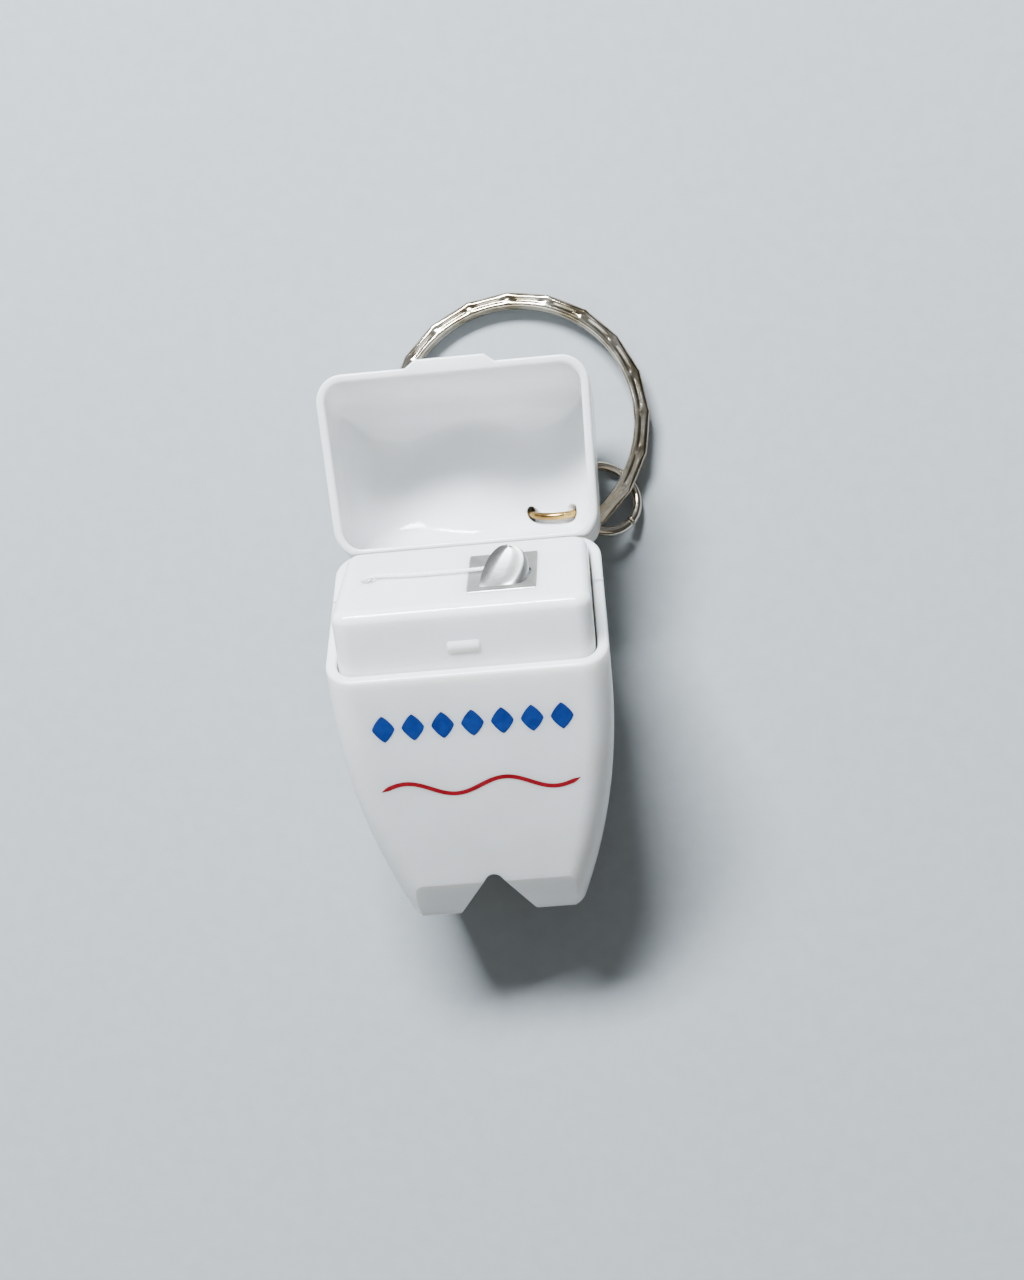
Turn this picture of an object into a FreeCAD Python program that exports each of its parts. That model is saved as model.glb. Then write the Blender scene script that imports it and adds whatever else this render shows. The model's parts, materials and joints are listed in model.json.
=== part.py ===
import FreeCAD, Part
import math
import os

os.makedirs("parts", exist_ok=True)

V = FreeCAD.Vector
X_AXIS = V(1, 0, 0)
Y_AXIS = V(0, 1, 0)
Z_AXIS = V(0, 0, 1)

# Tooth body. It is drawn upright: x to the right, -y to the front, z up, back edge of the rim on the x axis
BODY_WIDTH = 31.0
REAR_RATIO = 0.965
BODY_DEPTH = 20.0
HINGE_TO_TIP = 39.1
RIM_SLOPE = 18.0
SIDE_START = -9.0
SIDE_RADIUS = 83.0
FRONT_START = -2.0
TIP_SETBACK = 2.6
LONG_EDGE_ROUND = 3.2
TIP_ROUND = 1.2
CREASE_TO_TIP = 5.2
ROOT_BEVEL = 10.0
WALL = 1.2
ROOT_WALL = 1.8
RIM_ROUND = 0.4
FLOOR_TO_TIP = 8.0

# Notch between the two root tips
NOTCH_MOUTH_HALF = 4.6
NOTCH_LEAN = 33.0
NOTCH_ROUND = 1.0

# Seam between the front and rear shells
SEAM_FROM_BACK = 0.375 * BODY_DEPTH
SEAM_GROOVE_DEPTH = 0.25
SEAM_GROOVE_HALF = 0.14

# Crown-shaped lid
CROWN_TOP = 12.5
CROWN_SIDE = 3.6
CROWN_BULGE_IN = 0.06
CROWN_BULGE_UP = 0.45
CROWN_SHOULDER_IN = 0.34
CROWN_SHOULDER_DOWN = 0.16
CUSP_X = 0.239 * BODY_WIDTH
CUSP_DIP = 1.5
CUSP_SLOPE = 0.6
ROOF_BACK = 0.325 * BODY_DEPTH
ROOF_FRONT = 0.575 * BODY_DEPTH
ROOF_SPARE = 0.3
ROOF_THICKENING = 1.2
ROOF_CORNER = 0.29
LID_WALL = 1.0
RIM_GAP = 0.16
TAB_WIDTH = 0.323 * BODY_WIDTH
TAB_REACH = 0.9
TAB_HEIGHT = 3.2
TAB_ROOT = 0.4
TAB_LIP = 0.3
LID_OPEN = 122.0
HINGE_INNER = 0.12
HINGE_OUTER = 0.45
HINGE_LENGTH = 0.71 * BODY_WIDTH
HINGE_INSET = 0.5
HINGE_RECESS = 2.6

# Dispensing insert
INSERT_GAP = 0.2
INSERT_TOP = 0.7
INSERT_BOTTOM = -11.0
INSERT_WALL = 1.2
INSERT_ROUND = 1.2
LEDGE_WIDTH = 0.8
LEDGE_HEIGHT = 1.1
SEAT_GAP = 0.05
NUB_WIDTH = 3.6
NUB_RADIUS = 1.0
NUB_PROUD = 0.32
NUB_Z = -4.0
NUB_ROUND = 0.3
EXIT_X = -0.335 * BODY_WIDTH
EXIT_FROM_BACK = 0.48 * BODY_DEPTH
EXIT_RADIUS = 0.8

# Steel cutter
CUTTER_X = 0.142 * BODY_WIDTH
CUTTER_FROM_BACK = 0.5175 * BODY_DEPTH
CUTTER_WIDTH = 0.241 * BODY_WIDTH
CUTTER_LENGTH = 0.485 * BODY_DEPTH
CUTTER_THICK = 0.35
CUTTER_CORNER = 0.5
CUTTER_SINK = 0.3
CUTTER_GAP = 0.06
TONGUE_BASE_HALF = 0.28 * CUTTER_WIDTH
TONGUE_LENGTH = 0.523 * CUTTER_LENGTH
TONGUE_LIFT = 30.0
TONGUE_SLIT = 0.25
TONGUE_FROM_FRONT = 1.1
TONGUE_LEFT = (-0.62, 0.6)
TONGUE_APEX = (0.3, 1.0)
TONGUE_BROW = (1.0, 0.93)
TONGUE_SHOULDER = (1.45, 0.62)
TONGUE_RIGHT = (1.32, 0.3)
LEG_WIDTH = 1.6
LEG_DEPTH = 2.2

# Spool on its axle
SPOOL_Z = -20.9
SPOOL_BACK = 0.17 * BODY_DEPTH
SPOOL_LENGTH = 0.65 * BODY_DEPTH
FLANGE_RADIUS = 0.303 * BODY_WIDTH
FLANGE_THICK = 0.9
HUB_RADIUS = 4.0
AXLE_RADIUS = 2.4
AXLE_GAP = 0.05
AXLE_SOCKET = 1.2
COLLAR_RADIUS = 3.5
END_PLAY = 0.12
WINDING_DROP = 0.9
WINDING_GAP = 0.1
POST_RADIUS = 1.3
PIN_RADIUS = 0.7
PIN_REACH = 3.0
PIN_GAP = 0.04
POSTS = [(0.403 * BODY_WIDTH, -13.8), (0.323 * BODY_WIDTH, -29.4)]

# Floss
FLOSS_RADIUS = 0.25
FLOSS_LIFT = 0.06
FLOSS_BEND = 0.9
FLOSS_WAVE = 0.35
FLOSS_WAVE_SHARES = (0.6, 0.2)
FLOSS_WAVE_BEND = 8.0
FLOSS_INNER_BEND = 6.0
FLOSS_END_X = 0.148 * BODY_WIDTH
FLOSS_END_FROM_BACK = 0.495 * BODY_DEPTH

# Key ring and its links, placed as they lie on the table
JUMP_RADIUS = 3.6
JUMP_WIRE = 0.45
JUMP_X = 0.3226 * BODY_WIDTH
JUMP_HALF_CHORD = 3.1
JUMP_FROM_BACK = 0.26 * BODY_DEPTH
JUMP_LEAN = 18.0
JUMP_SWING = 25.0
JUMP_CLEARANCE = 0.22
SWING_STEPS = 5
BUTT_GAP = 0.12
JUMP_GAP_TURN = 37.0
LINK_RADIUS = 4.3
LINK_WIRE = 0.55
LINK_TILT = 28.0
LINK_INSET = 1.35
LINK_FROM_JUMP = (5.282, 0.875)
SPLIT_RADIUS = 15.0
SPLIT_BAND = 2.0
SPLIT_WIRE_HEIGHT = 0.96
SPLIT_COIL_GAP = 0.05
SPLIT_EDGE_ROUND = 0.28
SPLIT_LINK_ANGLE = -46.0
SPLIT_RAMP_ANGLE = 60.0
SPLIT_RAMP_CENTRE = 215.0
SPLIT_RAMP_STEPS = 6
TABLE_GAP = 0.02

FAR = 60.0
REST_LEAN = 27.0
LEAN_SIN = math.sin(math.radians(REST_LEAN))
LEAN_COS = math.cos(math.radians(REST_LEAN))
HINGE_HEIGHT = (HINGE_TO_TIP - TIP_ROUND) * LEAN_SIN + TIP_ROUND * (1 - LEAN_COS)
TIP_Z = -HINGE_TO_TIP
FLOOR_Z = TIP_Z + FLOOR_TO_TIP
BLANK_TOP = 2.0
WINDING_RADIUS = FLANGE_RADIUS - WINDING_DROP
MARGIN = 1.0
TINY = 0.01


def box(x0, x1, y0, y1, z0, z1):
    return Part.makeBox(x1 - x0, y1 - y0, z1 - z0, V(x0, y0, z0))


def turned(shape, centre, axis, angle):
    copy = shape.copy()
    copy.rotate(centre, axis, angle)
    return copy


def moved(shape, offset):
    copy = shape.copy()
    copy.translate(offset)
    return copy


def prism(wire, way):
    return Part.Face(wire).extrude(way)


def arc(start, middle, end):
    return Part.Arc(start, middle, end).toShape()


def line(start, end):
    return Part.makeLine(start, end)


def side_x(z, half, inset):
    """Half width of the body at height z."""
    if z >= SIDE_START:
        return half - inset
    centre = half - SIDE_RADIUS
    return centre + math.sqrt((SIDE_RADIUS - inset) ** 2 - (z - SIDE_START) ** 2)


FRONT_DROP = HINGE_TO_TIP + FRONT_START
FRONT_RADIUS = (FRONT_DROP ** 2 + TIP_SETBACK ** 2) / (2 * TIP_SETBACK)


def front_y(z, inset):
    """Front face of the body at height z."""
    if z >= FRONT_START:
        return inset - BODY_DEPTH
    centre = FRONT_RADIUS - BODY_DEPTH
    return centre - math.sqrt((FRONT_RADIUS - inset) ** 2 - (z - FRONT_START) ** 2)


def front_outline(y, ratio, inset, top, bottom):
    """Outline of the body seen from the front, at depth y."""
    half = ratio * BODY_WIDTH / 2

    def point(side, z):
        return V(side * side_x(z, half, inset), y, z)

    middle = (SIDE_START + bottom) / 2
    edges = [line(point(-1, top), point(1, top))]
    edges.append(line(point(1, top), point(1, SIDE_START)))
    edges.append(arc(point(1, SIDE_START), point(1, middle), point(1, bottom)))
    edges.append(line(point(1, bottom), point(-1, bottom)))
    edges.append(arc(point(-1, bottom), point(-1, middle), point(-1, SIDE_START)))
    edges.append(line(point(-1, SIDE_START), point(-1, top)))
    return Part.Wire(edges)


def tooth_blank(inset, top, bottom, edge_round):
    """Body shape without its notch, drawn in by inset, between two heights."""
    front = front_outline(-BODY_DEPTH, 1.0, inset, top, bottom)
    rear = front_outline(0, REAR_RATIO, inset, top, bottom)
    sides = Part.makeLoft([front, rear], True, True)

    def point(y, z):
        return V(-FAR, y, z)

    middle = (FRONT_START + bottom) / 2
    profile = [line(point(-inset, top), point(-inset, bottom))]
    profile.append(line(point(-inset, bottom), point(front_y(bottom, inset), bottom)))
    start = point(front_y(bottom, inset), bottom)
    end = point(front_y(FRONT_START, inset), FRONT_START)
    profile.append(arc(start, point(front_y(middle, inset), middle), end))
    profile.append(line(end, point(front_y(top, inset), top)))
    profile.append(line(point(front_y(top, inset), top), point(-inset, top)))
    blank = sides.common(prism(Part.Wire(profile), V(2 * FAR, 0, 0)))
    long_edges = [e for e in blank.Edges if e.BoundBox.ZLength > MARGIN]
    return blank.makeFillet(edge_round, long_edges)


def above_rim(gap):
    """Everything above the sloping rim plane, raised by gap."""
    space = box(-FAR, FAR, -FAR, FAR, gap, FAR)
    return turned(space, V(0, 0, 0), X_AXIS, RIM_SLOPE)


def notch(grow):
    """Wedge between the roots, made wider by grow on every side."""
    lean = math.radians(NOTCH_LEAN)
    reach = NOTCH_MOUTH_HALF - NOTCH_ROUND * math.cos(lean)
    centre = TIP_Z + reach / math.tan(lean) - NOTCH_ROUND * math.sin(lean)
    radius = NOTCH_ROUND + grow
    side = V(radius * math.cos(lean), 0, centre + radius * math.sin(lean))
    below = TIP_Z - BLANK_TOP
    foot = side.x + (side.z - below) * math.tan(lean)
    left = V(-side.x, 0, side.z)
    edges = [line(V(-foot, 0, below), left)]
    edges.append(arc(left, V(0, 0, centre + radius), side))
    edges.append(line(side, V(foot, 0, below)))
    edges.append(line(V(foot, 0, below), V(-foot, 0, below)))
    wedge = prism(Part.Wire(edges), V(0, -FAR, 0))
    return moved(wedge, V(0, FAR / 4, 0))


# Outer form of the body
crease_z = TIP_Z + CREASE_TO_TIP
crease = V(0, front_y(crease_z, 0), crease_z)
bevel = box(-FAR, FAR, crease.y - FAR, crease.y, crease_z - FAR, crease_z)
slope = math.degrees(math.asin((FRONT_START - crease_z) / FRONT_RADIUS)) + ROOT_BEVEL
outer = tooth_blank(0, BLANK_TOP, TIP_Z, LONG_EDGE_ROUND)
outer = outer.cut(turned(bevel, crease, X_AXIS, slope))
tip_edges = [e for e in outer.Edges if e.BoundBox.ZMax < TIP_Z + TINY]
outer = outer.makeFillet(TIP_ROUND, tip_edges)
outer = outer.cut(notch(0))

# Hollow for the spool, and the hollow roots
cavity = tooth_blank(WALL, BLANK_TOP + MARGIN, FLOOR_Z, LONG_EDGE_ROUND - WALL)
root_core = tooth_blank(ROOT_WALL, BLANK_TOP, TIP_Z + ROOT_WALL, LONG_EDGE_ROUND - ROOT_WALL)
root_core = root_core.cut(notch(WALL)).common(box(-FAR, FAR, -FAR, FAR, TIP_Z, FLOOR_Z + WALL))
hollow = cavity.fuse(root_core)
skin = outer.cut(hollow).cut(above_rim(-RIM_GAP / 2))
rim_band = above_rim(-RIM_GAP / 2 - TINY)
rim_edges = [e for e in skin.Edges if e.common(rim_band).Length > e.Length - TINY]
skin = skin.makeFillet(RIM_ROUND, rim_edges)
groove_round = LONG_EDGE_ROUND - SEAM_GROOVE_DEPTH
groove_foot = TIP_Z - MARGIN
groove_core = tooth_blank(SEAM_GROOVE_DEPTH, BLANK_TOP, groove_foot, groove_round)
seam_y = -SEAM_FROM_BACK
groove_rear = seam_y + SEAM_GROOVE_HALF
groove_front = seam_y - SEAM_GROOVE_HALF
seam_slab = box(-FAR, FAR, groove_front, groove_rear, groove_foot, BLANK_TOP)
skin = skin.cut(seam_slab.cut(groove_core))

# Recess across the back in which the hinge strip lies
hinge_recess = box(-FAR, FAR, -HINGE_INSET, FAR, -HINGE_RECESS, HINGE_RECESS)
skin = skin.cut(hinge_recess)

# Ledge that carries the insert
ledge_top = INSERT_BOTTOM - SEAT_GAP
ledge_inset = WALL + LEDGE_WIDTH
ledge_core = tooth_blank(ledge_inset, BLANK_TOP, FLOOR_Z, LONG_EDGE_ROUND - ledge_inset)
ledge_zone = box(-FAR, FAR, -FAR, FAR, ledge_top - LEDGE_HEIGHT, ledge_top)
half_wall = WALL / 2
ledge = tooth_blank(half_wall, BLANK_TOP, FLOOR_Z, LONG_EDGE_ROUND - half_wall)
skin = skin.fuse(ledge.cut(ledge_core).common(ledge_zone))

behind_seam = box(-FAR, FAR, seam_y, FAR, -FAR, FAR)
before_seam = box(-FAR, FAR, -FAR, seam_y, -FAR, FAR)
inside = tooth_blank(half_wall, BLANK_TOP, FLOOR_Z - WALL, LONG_EDGE_ROUND - half_wall)


def rod(radius, x, z, y0, y1):
    """Round bar along the depth of the body, from y0 forward to y1."""
    return Part.makeCylinder(radius, y0 - y1, V(x, y0, z), -Y_AXIS)


spool_rear = -SPOOL_BACK
spool_front = -SPOOL_BACK - SPOOL_LENGTH
axle_end = spool_front - AXLE_SOCKET
rear_shell = skin.common(behind_seam)
front_shell = skin.common(before_seam)
rear_posts = [rod(COLLAR_RADIUS, 0, SPOOL_Z, 0, spool_rear + END_PLAY)]
rear_posts.append(rod(AXLE_RADIUS, 0, SPOOL_Z, 0, axle_end))
front_posts = [rod(COLLAR_RADIUS, 0, SPOOL_Z, spool_front - END_PLAY, -FAR)]
front_bores = [rod(AXLE_RADIUS + AXLE_GAP, 0, SPOOL_Z, spool_front, axle_end - 2 * AXLE_GAP)]
for post_x, post_z in POSTS:
    for side in (-1, 1):
        rear_posts.append(rod(POST_RADIUS, side * post_x, post_z, 0, seam_y))
        rear_posts.append(rod(PIN_RADIUS, side * post_x, post_z, seam_y, seam_y - PIN_REACH))
        front_posts.append(rod(POST_RADIUS, side * post_x, post_z, seam_y, -FAR))
        bore_end = seam_y - PIN_REACH - 2 * PIN_GAP
        front_bores.append(rod(PIN_RADIUS + PIN_GAP, side * post_x, post_z, seam_y, bore_end))
rear_shell = rear_shell.fuse([p.common(inside) for p in rear_posts]).removeSplitter()
front_shell = front_shell.fuse([p.common(inside) for p in front_posts])
front_shell = front_shell.cut(front_bores).removeSplitter()


# Lid: a crown with two cusps
def crown(inset):
    """Crown shape drawn in by inset, reaching below the rim plane."""
    half = BODY_WIDTH / 2 - inset
    half_rear = REAR_RATIO * BODY_WIDTH / 2 - inset
    top = CROWN_TOP - ROOF_THICKENING * inset
    low = -BODY_DEPTH
    rise = top - CROWN_SIDE
    shoulder = [(half, CROWN_SIDE)]
    shoulder.append((half - CROWN_BULGE_IN * rise, CROWN_SIDE + CROWN_BULGE_UP * rise))
    shoulder.append((half - CROWN_SHOULDER_IN * rise, top - CROWN_SHOULDER_DOWN * rise))
    ridge = [(CUSP_X, top), (CUSP_X / 2, top - CUSP_SLOPE * CUSP_DIP), (0, top - CUSP_DIP)]
    right = [V(x, 0, z) for x, z in shoulder + ridge]
    left = [V(-p.x, 0, p.z) for p in right[-2::-1]]
    curve = Part.BSplineCurve()
    curve.interpolate(Points=right + left, InitialTangent=Z_AXIS, FinalTangent=-Z_AXIS)
    corners = [left[-1], V(-half, 0, low), V(half, 0, low), right[0]]
    face_on = Part.Wire([curve.toShape()] + Part.makePolygon(corners).Edges)
    across = prism(face_on, V(0, -FAR, 0))

    roof = top + ROOF_SPARE
    back = -inset
    front = inset - BODY_DEPTH
    corner_z = roof - ROOF_CORNER * (roof - CROWN_SIDE)
    rear_points = [V(0, back, CROWN_SIDE)]
    rear_points.append(V(0, back - ROOF_CORNER * (ROOF_BACK + back), corner_z))
    rear_points.append(V(0, -ROOF_BACK, roof))
    rear_curve = Part.BSplineCurve()
    rear_curve.interpolate(Points=rear_points, InitialTangent=Z_AXIS, FinalTangent=-Y_AXIS)
    front_points = [V(0, -ROOF_FRONT, roof)]
    front_points.append(V(0, front - ROOF_CORNER * (ROOF_FRONT + front), corner_z))
    front_points.append(V(0, front, CROWN_SIDE))
    front_curve = Part.BSplineCurve()
    front_curve.interpolate(Points=front_points, InitialTangent=-Y_AXIS, FinalTangent=-Z_AXIS)
    foot = [front_points[-1], V(0, front, low), V(0, back, low), rear_points[0]]
    flat = line(rear_points[-1], front_points[0])
    curves = [rear_curve.toShape(), flat, front_curve.toShape()]
    side_on = Part.Wire(curves + Part.makePolygon(foot).Edges)
    along = moved(prism(side_on, V(2 * FAR, 0, 0)), V(-FAR, 0, 0))

    plan = [V(-half, front, low), V(half, front, low), V(half_rear, back, low), V(-half_rear, back, low)]
    column = prism(Part.makePolygon(plan + plan[:1]), V(0, 0, FAR))
    upright = [e for e in column.Edges if e.BoundBox.ZLength > MARGIN]
    column = column.makeFillet(LONG_EDGE_ROUND - inset, upright)
    return across.common(along).common(column)


# Thumb tab on the lid's free edge
tab_back = TAB_ROOT - BODY_DEPTH
tab_front = -BODY_DEPTH - TAB_REACH
tab_half = TAB_WIDTH / 2
tab_plan = [V(-tab_half, tab_back, TIP_Z), V(TAB_REACH - tab_half, tab_front, TIP_Z)]
tab_plan += [V(tab_half - TAB_REACH, tab_front, TIP_Z), V(tab_half, tab_back, TIP_Z)]
tab = prism(Part.makePolygon(tab_plan + tab_plan[:1]), V(0, 0, FAR))
rim_front = -BODY_DEPTH * math.tan(math.radians(RIM_SLOPE))
tab_foot = rim_front - TAB_HEIGHT
tab_side = [V(-FAR, tab_back, tab_foot), V(-FAR, tab_front - TAB_REACH, tab_foot)]
tab_side.append(V(-FAR, tab_front - TAB_REACH, rim_front + TAB_LIP * TAB_HEIGHT))
tab_side.append(V(-FAR, tab_back, rim_front + TAB_HEIGHT))
tab = tab.common(prism(Part.makePolygon(tab_side + tab_side[:1]), V(2 * FAR, 0, 0)))
lid = crown(0).cut(crown(LID_WALL)).fuse(tab)
lid = lid.common(above_rim(RIM_GAP / 2)).cut(hinge_recess)

# Dispensing insert
insert_inset = WALL + INSERT_GAP
insert = tooth_blank(insert_inset, INSERT_TOP, INSERT_BOTTOM, LONG_EDGE_ROUND - insert_inset)
top_edges = [e for e in insert.Edges if e.BoundBox.ZMin > INSERT_TOP - TINY]
insert = insert.makeFillet(INSERT_ROUND, top_edges)
core_inset = insert_inset + INSERT_WALL
core_top = INSERT_TOP - INSERT_WALL
core_foot = INSERT_BOTTOM - MARGIN
insert_core = tooth_blank(core_inset, core_top, core_foot, LONG_EDGE_ROUND - core_inset)
nub_y = front_y(NUB_Z, insert_inset) - NUB_PROUD + NUB_RADIUS
nub = Part.makeCylinder(NUB_RADIUS, NUB_WIDTH, V(-NUB_WIDTH / 2, nub_y, NUB_Z), X_AXIS)
nub = nub.makeFillet(NUB_ROUND, [e for e in nub.Edges if e.BoundBox.XLength < TINY])
cutter_y = -CUTTER_FROM_BACK
exit_y = -EXIT_FROM_BACK


def plate_block(grow, z0, z1):
    """Rounded rectangle of the cutter plate, made larger by grow, between two heights."""
    half_x = CUTTER_WIDTH / 2 + grow
    half_y = CUTTER_LENGTH / 2 + grow
    block = box(CUTTER_X - half_x, CUTTER_X + half_x, cutter_y - half_y, cutter_y + half_y, z0, z1)
    upright = [e for e in block.Edges if e.BoundBox.ZLength > TINY]
    return block.makeFillet(CUTTER_CORNER + grow, upright)


def legs(grow, z0, z1):
    """Two folded legs at the sides of the cutter plate."""
    both = []
    for side in (-1, 1):
        outer_x = CUTTER_X + side * (CUTTER_WIDTH / 2)
        inner_x = outer_x - side * CUTTER_THICK
        low = min(outer_x, inner_x) - grow
        high = max(outer_x, inner_x) + grow
        half_y = LEG_WIDTH / 2 + grow
        both.append(box(low, high, cutter_y - half_y, cutter_y + half_y, z0, z1))
    return both


pocket_floor = INSERT_TOP - CUTTER_SINK
insert = insert.fuse(nub).cut(insert_core)
below_top = INSERT_TOP - 2 * INSERT_WALL
exit_foot = V(EXIT_X, exit_y, below_top)
exit_hole = Part.makeCylinder(EXIT_RADIUS, 4 * INSERT_WALL, exit_foot, Z_AXIS)
insert = insert.cut([exit_hole, plate_block(CUTTER_GAP, pocket_floor, INSERT_TOP + MARGIN)])
insert = insert.cut(legs(CUTTER_GAP, below_top, INSERT_TOP)).removeSplitter()
exit_zone = FreeCAD.BoundBox(exit_foot.x, exit_y, INSERT_TOP, exit_foot.x, exit_y, INSERT_TOP)
exit_zone.enlarge(EXIT_RADIUS + TINY)
exit_lip = []
for edge in insert.Edges:
    if exit_zone.isInside(edge.BoundBox) and edge.BoundBox.ZMin > INSERT_TOP - TINY:
        exit_lip.append(edge)
insert = insert.makeFillet(EXIT_RADIUS / 4, exit_lip)

# Steel cutter plate with its raised tongue
plate_top = pocket_floor + CUTTER_THICK
plate = plate_block(0, pocket_floor, plate_top)
tongue_y = cutter_y - CUTTER_LENGTH / 2 + TONGUE_FROM_FRONT


def tongue(grow, z0, z1):
    """Leaf-shaped tongue, flat, made larger by grow at its free sides."""
    base = TONGUE_BASE_HALF + grow
    tip = TONGUE_LENGTH + grow

    def point(share):
        return V(CUTTER_X + share[0] * base, tongue_y + share[1] * tip, z0)

    start = point((-1, 0))
    apex = point(TONGUE_APEX)
    shoulder = point(TONGUE_SHOULDER)
    end = point((1, 0))
    edges = [arc(start, point(TONGUE_LEFT), apex)]
    edges.append(arc(apex, point(TONGUE_BROW), shoulder))
    edges.append(arc(shoulder, point(TONGUE_RIGHT), end))
    edges.append(line(end, start))
    return prism(Part.Wire(edges), V(0, 0, z1 - z0))


tongue_root = V(CUTTER_X, tongue_y, plate_top)
raised = turned(tongue(0, pocket_floor, plate_top), tongue_root, X_AXIS, TONGUE_LIFT)
window = tongue(TONGUE_SLIT, pocket_floor - MARGIN, plate_top + MARGIN)
window = window.common(box(-FAR, FAR, tongue_y + CUTTER_THICK, FAR, -FAR, FAR))
folded = legs(0, pocket_floor - LEG_DEPTH + INSERT_WALL, plate_top)
cutter_plate = plate.cut(window).fuse([raised] + folded).removeSplitter()

# Spool and its winding
spool = rod(HUB_RADIUS, 0, SPOOL_Z, spool_rear, spool_front)
spool = spool.fuse(rod(FLANGE_RADIUS, 0, SPOOL_Z, spool_rear, spool_rear - FLANGE_THICK))
spool = spool.fuse(rod(FLANGE_RADIUS, 0, SPOOL_Z, spool_front + FLANGE_THICK, spool_front))
spool = spool.cut(rod(AXLE_RADIUS + AXLE_GAP, 0, SPOOL_Z, 0, -FAR)).removeSplitter()
winding_rear = spool_rear - FLANGE_THICK - WINDING_GAP
winding_front = spool_front + FLANGE_THICK + WINDING_GAP
floss_winding = rod(WINDING_RADIUS, 0, SPOOL_Z, winding_rear, winding_front)
floss_winding = floss_winding.cut(rod(HUB_RADIUS + AXLE_GAP, 0, SPOOL_Z, 0, -FAR))


# Floss strand, held from the winding to the cutter
def rounded_path(points, bends):
    """Straight runs joined by tangent arcs."""
    edges = []
    last = points[0]
    for index in range(1, len(points) - 1):
        corner = points[index]
        back = (last - corner).normalize()
        ahead = (points[index + 1] - corner).normalize()
        half = back.getAngle(ahead) / 2
        run = bends[index - 1] / math.tan(half)
        enter = corner + back * run
        leave = corner + ahead * run
        middle_way = (back + ahead).normalize()
        sag = bends[index - 1] / math.sin(half) - bends[index - 1]
        edges.append(line(last, enter))
        edges.append(arc(enter, corner + middle_way * sag, leave))
        last = leave
    edges.append(line(last, points[-1]))
    return Part.Wire(edges)


floss_z = plate_top + FLOSS_RADIUS + FLOSS_LIFT
floss_points = [V(-WINDING_RADIUS - FLOSS_RADIUS - FLOSS_LIFT, exit_y, SPOOL_Z)]
floss_points.append(V(EXIT_X, exit_y, INSERT_TOP - 3 * INSERT_WALL))
floss_points.append(V(EXIT_X, exit_y, floss_z))
first_share, second_share = FLOSS_WAVE_SHARES
floss_end = V(FLOSS_END_X, -FLOSS_END_FROM_BACK, floss_z)
floss_points.append(V(first_share * EXIT_X, exit_y - FLOSS_WAVE, floss_z))
floss_points.append(V(second_share * EXIT_X, floss_end.y - FLOSS_WAVE / 2, floss_z))
floss_points.append(floss_end)
floss_bends = [FLOSS_INNER_BEND, FLOSS_BEND, FLOSS_WAVE_BEND, FLOSS_WAVE_BEND]
floss_path = rounded_path(floss_points, floss_bends)
floss_start_way = floss_points[1] - floss_points[0]
floss_ring = Part.makeCircle(FLOSS_RADIUS, floss_points[0], floss_start_way)
floss_strand = floss_path.makePipeShell([Part.Wire(floss_ring)], True, True)

# Living hinge: a thin strip bent round the hinge line, from the body's back to the lid's back
lid_back = 90 - LID_OPEN


def strip_point(radius, angle):
    way = math.radians(angle)
    return V(-HINGE_LENGTH / 2, radius * math.cos(way) - HINGE_INSET, radius * math.sin(way))


strip_middle = (lid_back - 90) / 2
outer_points = [strip_point(HINGE_OUTER, way) for way in (-90, strip_middle, lid_back)]
inner_points = [strip_point(HINGE_INNER, way) for way in (lid_back, strip_middle, -90)]
strip_edges = [arc(*outer_points), line(outer_points[-1], inner_points[0])]
strip_edges += [arc(*inner_points), line(inner_points[-1], outer_points[0])]
living_hinge = prism(Part.Wire(strip_edges), V(HINGE_LENGTH, 0, 0))


# From the upright drawing to the way it lies on the table
hinge_axis = V(0, -HINGE_INSET, 0)
back_edge = V(0, 0, HINGE_HEIGHT)


def lay_down(shape, opening):
    opened = turned(shape, hinge_axis, X_AXIS, -opening)
    laid = turned(opened, V(0, 0, 0), X_AXIS, REST_LEAN - 90)
    return moved(laid, back_edge)


def on_table(point, opening):
    """Where a point of the upright drawing lies."""
    opened = FreeCAD.Rotation(X_AXIS, -opening).multVec(point - hinge_axis) + hinge_axis
    return FreeCAD.Rotation(X_AXIS, REST_LEAN - 90).multVec(opened) + back_edge


# Rings
jump_rise = math.sqrt(JUMP_RADIUS ** 2 - JUMP_HALF_CHORD ** 2)
roof_probe = line(V(JUMP_X, -JUMP_FROM_BACK, 0), V(JUMP_X, -JUMP_FROM_BACK, FAR))
hole_z = roof_probe.common(lid).BoundBox.Center.z
hole_point = on_table(V(JUMP_X, -JUMP_FROM_BACK, hole_z), LID_OPEN)
jump_way = FreeCAD.Rotation(X_AXIS, JUMP_LEAN).multVec(-Z_AXIS)
jump_centre = hole_point + jump_way * jump_rise
jump_normal = X_AXIS.cross(jump_way)


def open_ring(radius, wire, centre, normal, gap_way):
    """Wire ring whose ends meet with a small gap on the side of gap_way."""
    ring = Part.makeTorus(radius, wire, centre, normal)
    slot = Part.makeCylinder(2 * wire, BUTT_GAP, centre + gap_way * radius, normal.cross(gap_way))
    return ring.cut(slot)


jump_gap_way = FreeCAD.Rotation(jump_normal, -JUMP_GAP_TURN).multVec(-X_AXIS)
jump_ring = open_ring(JUMP_RADIUS, JUMP_WIRE, jump_centre, jump_normal, jump_gap_way)
lid = lay_down(lid, LID_OPEN)
jump_space = Part.makeTorus(JUMP_RADIUS, JUMP_WIRE + JUMP_CLEARANCE, jump_centre, jump_normal)
for step in range(SWING_STEPS + 1):
    lid = lid.cut(turned(jump_space, hole_point, X_AXIS, -JUMP_SWING * step / SWING_STEPS))
lid = lid.removeSplitter()

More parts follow.
